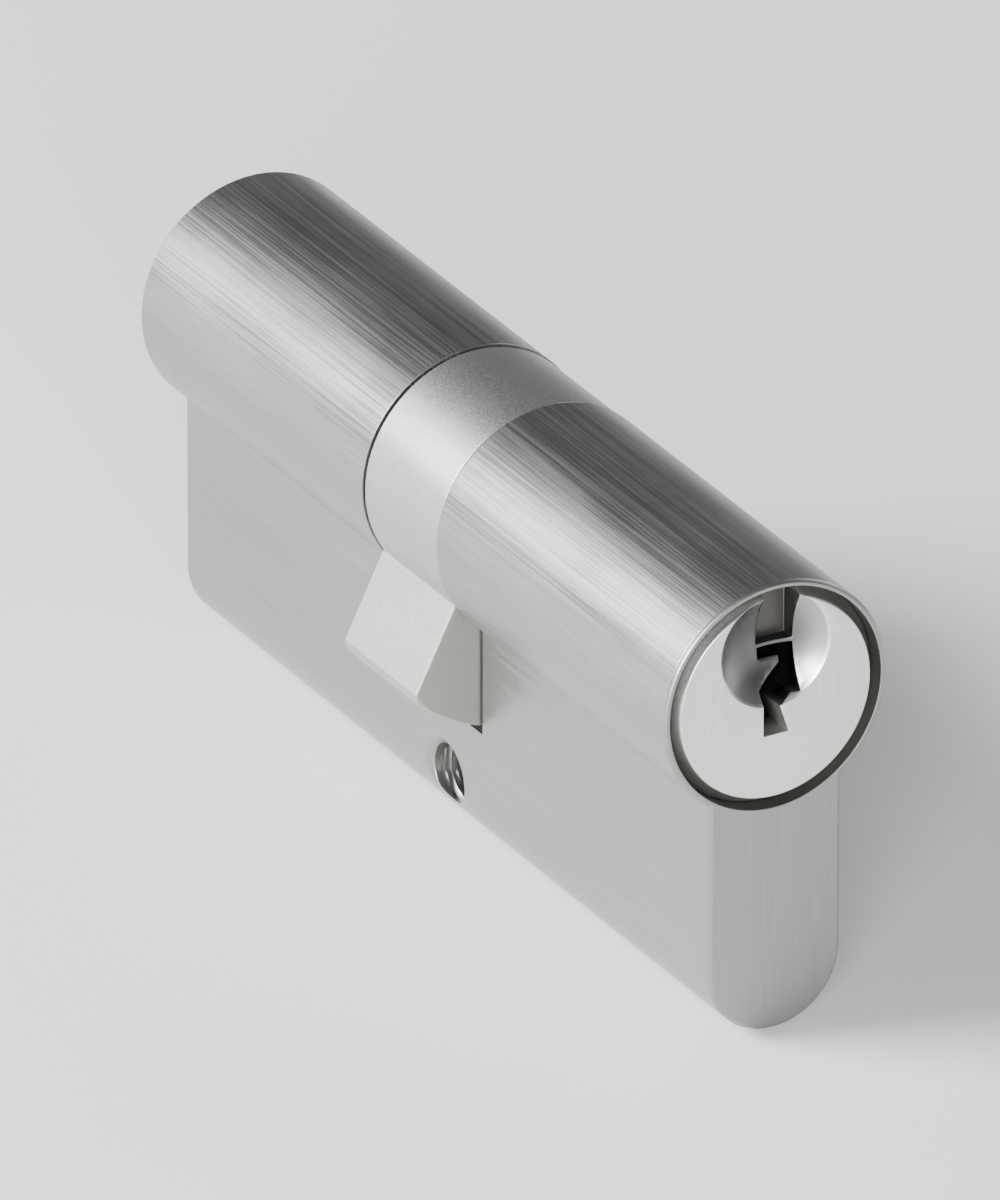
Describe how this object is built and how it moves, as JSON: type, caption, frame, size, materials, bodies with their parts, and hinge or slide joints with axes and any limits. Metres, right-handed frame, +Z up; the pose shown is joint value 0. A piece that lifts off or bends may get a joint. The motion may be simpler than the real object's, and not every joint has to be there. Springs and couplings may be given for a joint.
{
  "type": "euro cylinder",
  "caption": "Euro-profile lock cylinder in satin nickel, with a keyed plug at each end, sprung pin stacks and a cam that either plug turns through a sliding clutch.",
  "frame": {"origin": "on the axis of the plugs, in the plane of the fixing screw hole, the point that both half lengths are measured from", "axes": "+Y along the plug axis from the outside face to the inside face, +Z up from the web to the round head, +X to the right seen from outside, along the fixing screw hole"},
  "size_m": [0.0185, 0.07, 0.033],
  "materials": {
    "satin_nickel_body": "satin nickel plate over brass",
    "satin_nickel_plug": "fine turned satin nickel plate over brass",
    "nickelled_steel_cam": "nickel-plated sintered steel",
    "sintered_steel": "oiled sintered steel",
    "black_spring_steel": "phosphated spring steel",
    "spring_steel": "drawn stainless spring wire",
    "pin_brass": "turned brass",
    "nickel_silver": "turned nickel silver",
    "chamber_plug_brass": "pressed-in brass, filed flush"
  },
  "bodies": {
    "housing": {"housing": "satin_nickel_body", "outside_chamber_plugs": "chamber_plug_brass", "inside_chamber_plugs": "chamber_plug_brass", "outside_pin_spring_1": "spring_steel", "outside_pin_spring_2": "spring_steel", "outside_pin_spring_3": "spring_steel", "outside_pin_spring_4": "spring_steel", "outside_pin_spring_5": "spring_steel", "inside_pin_spring_1": "spring_steel", "inside_pin_spring_2": "spring_steel", "inside_pin_spring_3": "spring_steel", "inside_pin_spring_4": "spring_steel", "inside_pin_spring_5": "spring_steel"},
    "outside_plug": {"outside_plug": "satin_nickel_plug", "outside_retaining_clip": "black_spring_steel"},
    "inside_plug": {"inside_plug": "satin_nickel_plug", "inside_retaining_clip": "black_spring_steel"},
    "cam": {"cam": "nickelled_steel_cam"},
    "outside_coupling": {"outside_coupling": "sintered_steel"},
    "inside_coupling": {"inside_coupling": "sintered_steel"},
    "outside_key_pin_1": {"outside_key_pin_1": "pin_brass"},
    "outside_key_pin_2": {"outside_key_pin_2": "pin_brass"},
    "outside_key_pin_3": {"outside_key_pin_3": "pin_brass"},
    "outside_key_pin_4": {"outside_key_pin_4": "pin_brass"},
    "outside_key_pin_5": {"outside_key_pin_5": "pin_brass"},
    "inside_key_pin_1": {"inside_key_pin_1": "pin_brass"},
    "inside_key_pin_2": {"inside_key_pin_2": "pin_brass"},
    "inside_key_pin_3": {"inside_key_pin_3": "pin_brass"},
    "inside_key_pin_4": {"inside_key_pin_4": "pin_brass"},
    "inside_key_pin_5": {"inside_key_pin_5": "pin_brass"},
    "outside_driver_pin_1": {"outside_driver_pin_1": "nickel_silver"},
    "outside_driver_pin_2": {"outside_driver_pin_2": "nickel_silver"},
    "outside_driver_pin_3": {"outside_driver_pin_3": "nickel_silver"},
    "outside_driver_pin_4": {"outside_driver_pin_4": "nickel_silver"},
    "outside_driver_pin_5": {"outside_driver_pin_5": "nickel_silver"},
    "inside_driver_pin_1": {"inside_driver_pin_1": "nickel_silver"},
    "inside_driver_pin_2": {"inside_driver_pin_2": "nickel_silver"},
    "inside_driver_pin_3": {"inside_driver_pin_3": "nickel_silver"},
    "inside_driver_pin_4": {"inside_driver_pin_4": "nickel_silver"},
    "inside_driver_pin_5": {"inside_driver_pin_5": "nickel_silver"}
  },
  "joints": [
    {"name": "outside_plug_turn", "type": "hinge", "parent": "housing", "child": "outside_plug", "pos_m": [0, 0, 0], "axis": [0, 1, 0], "continuous": true},
    {"name": "inside_plug_turn", "type": "hinge", "parent": "housing", "child": "inside_plug", "pos_m": [0, 0, 0], "axis": [0, 1, 0], "continuous": true},
    {"name": "cam_turn", "type": "hinge", "parent": "housing", "child": "cam", "pos_m": [0, 0, 0], "axis": [0, 1, 0], "continuous": true},
    {"name": "outside_coupling_slide", "type": "slide", "parent": "outside_plug", "child": "outside_coupling", "axis": [0, 1, 0], "range_m": [-0.00215, 0]},
    {"name": "inside_coupling_slide", "type": "slide", "parent": "inside_plug", "child": "inside_coupling", "axis": [0, 1, 0], "range_m": [-0.00215, 0]},
    {"name": "outside_key_pin_1_lift", "type": "slide", "parent": "outside_plug", "child": "outside_key_pin_1", "axis": [0, 0, 1], "range_m": [0, 0.0023]},
    {"name": "outside_key_pin_2_lift", "type": "slide", "parent": "outside_plug", "child": "outside_key_pin_2", "axis": [0, 0, 1], "range_m": [0, 0.0035]},
    {"name": "outside_key_pin_3_lift", "type": "slide", "parent": "outside_plug", "child": "outside_key_pin_3", "axis": [0, 0, 1], "range_m": [0, 0.0011]},
    {"name": "outside_key_pin_4_lift", "type": "slide", "parent": "outside_plug", "child": "outside_key_pin_4", "axis": [0, 0, 1], "range_m": [0, 0.0029]},
    {"name": "outside_key_pin_5_lift", "type": "slide", "parent": "outside_plug", "child": "outside_key_pin_5", "axis": [0, 0, 1], "range_m": [0, 0.0017]},
    {"name": "inside_key_pin_1_lift", "type": "slide", "parent": "inside_plug", "child": "inside_key_pin_1", "axis": [0, 0, 1], "range_m": [0, 0.0023]},
    {"name": "inside_key_pin_2_lift", "type": "slide", "parent": "inside_plug", "child": "inside_key_pin_2", "axis": [0, 0, 1], "range_m": [0, 0.0035]},
    {"name": "inside_key_pin_3_lift", "type": "slide", "parent": "inside_plug", "child": "inside_key_pin_3", "axis": [0, 0, 1], "range_m": [0, 0.0011]},
    {"name": "inside_key_pin_4_lift", "type": "slide", "parent": "inside_plug", "child": "inside_key_pin_4", "axis": [0, 0, 1], "range_m": [0, 0.0029]},
    {"name": "inside_key_pin_5_lift", "type": "slide", "parent": "inside_plug", "child": "inside_key_pin_5", "axis": [0, 0, 1], "range_m": [0, 0.0017]},
    {"name": "outside_driver_pin_1_press", "type": "slide", "parent": "housing", "child": "outside_driver_pin_1", "axis": [0, 0, 1], "range_m": [-0.0018, 0], "stiffness_N_per_m": 100, "springref_m": 0.004, "deforming": ["outside_pin_spring_1"]},
    {"name": "outside_driver_pin_2_press", "type": "slide", "parent": "housing", "child": "outside_driver_pin_2", "axis": [0, 0, 1], "range_m": [-0.0006, 0], "stiffness_N_per_m": 100, "springref_m": 0.004, "deforming": ["outside_pin_spring_2"]},
    {"name": "outside_driver_pin_3_press", "type": "slide", "parent": "housing", "child": "outside_driver_pin_3", "axis": [0, 0, 1], "range_m": [-0.003, 0], "stiffness_N_per_m": 100, "springref_m": 0.004, "deforming": ["outside_pin_spring_3"]},
    {"name": "outside_driver_pin_4_press", "type": "slide", "parent": "housing", "child": "outside_driver_pin_4", "axis": [0, 0, 1], "range_m": [-0.0012, 0], "stiffness_N_per_m": 100, "springref_m": 0.004, "deforming": ["outside_pin_spring_4"]},
    {"name": "outside_driver_pin_5_press", "type": "slide", "parent": "housing", "child": "outside_driver_pin_5", "axis": [0, 0, 1], "range_m": [-0.0024, 0], "stiffness_N_per_m": 100, "springref_m": 0.004, "deforming": ["outside_pin_spring_5"]},
    {"name": "inside_driver_pin_1_press", "type": "slide", "parent": "housing", "child": "inside_driver_pin_1", "axis": [0, 0, 1], "range_m": [-0.0018, 0], "stiffness_N_per_m": 100, "springref_m": 0.004, "deforming": ["inside_pin_spring_1"]},
    {"name": "inside_driver_pin_2_press", "type": "slide", "parent": "housing", "child": "inside_driver_pin_2", "axis": [0, 0, 1], "range_m": [-0.0006, 0], "stiffness_N_per_m": 100, "springref_m": 0.004, "deforming": ["inside_pin_spring_2"]},
    {"name": "inside_driver_pin_3_press", "type": "slide", "parent": "housing", "child": "inside_driver_pin_3", "axis": [0, 0, 1], "range_m": [-0.003, 0], "stiffness_N_per_m": 100, "springref_m": 0.004, "deforming": ["inside_pin_spring_3"]},
    {"name": "inside_driver_pin_4_press", "type": "slide", "parent": "housing", "child": "inside_driver_pin_4", "axis": [0, 0, 1], "range_m": [-0.0012, 0], "stiffness_N_per_m": 100, "springref_m": 0.004, "deforming": ["inside_pin_spring_4"]},
    {"name": "inside_driver_pin_5_press", "type": "slide", "parent": "housing", "child": "inside_driver_pin_5", "axis": [0, 0, 1], "range_m": [-0.0024, 0], "stiffness_N_per_m": 100, "springref_m": 0.004, "deforming": ["inside_pin_spring_5"]}
  ],
  "couplings": [
    {"joint": "cam_turn", "follows": "outside_plug_turn", "ratio": 1},
    {"joint": "inside_coupling_slide", "follows": "outside_coupling_slide", "ratio": 1}
  ]
}
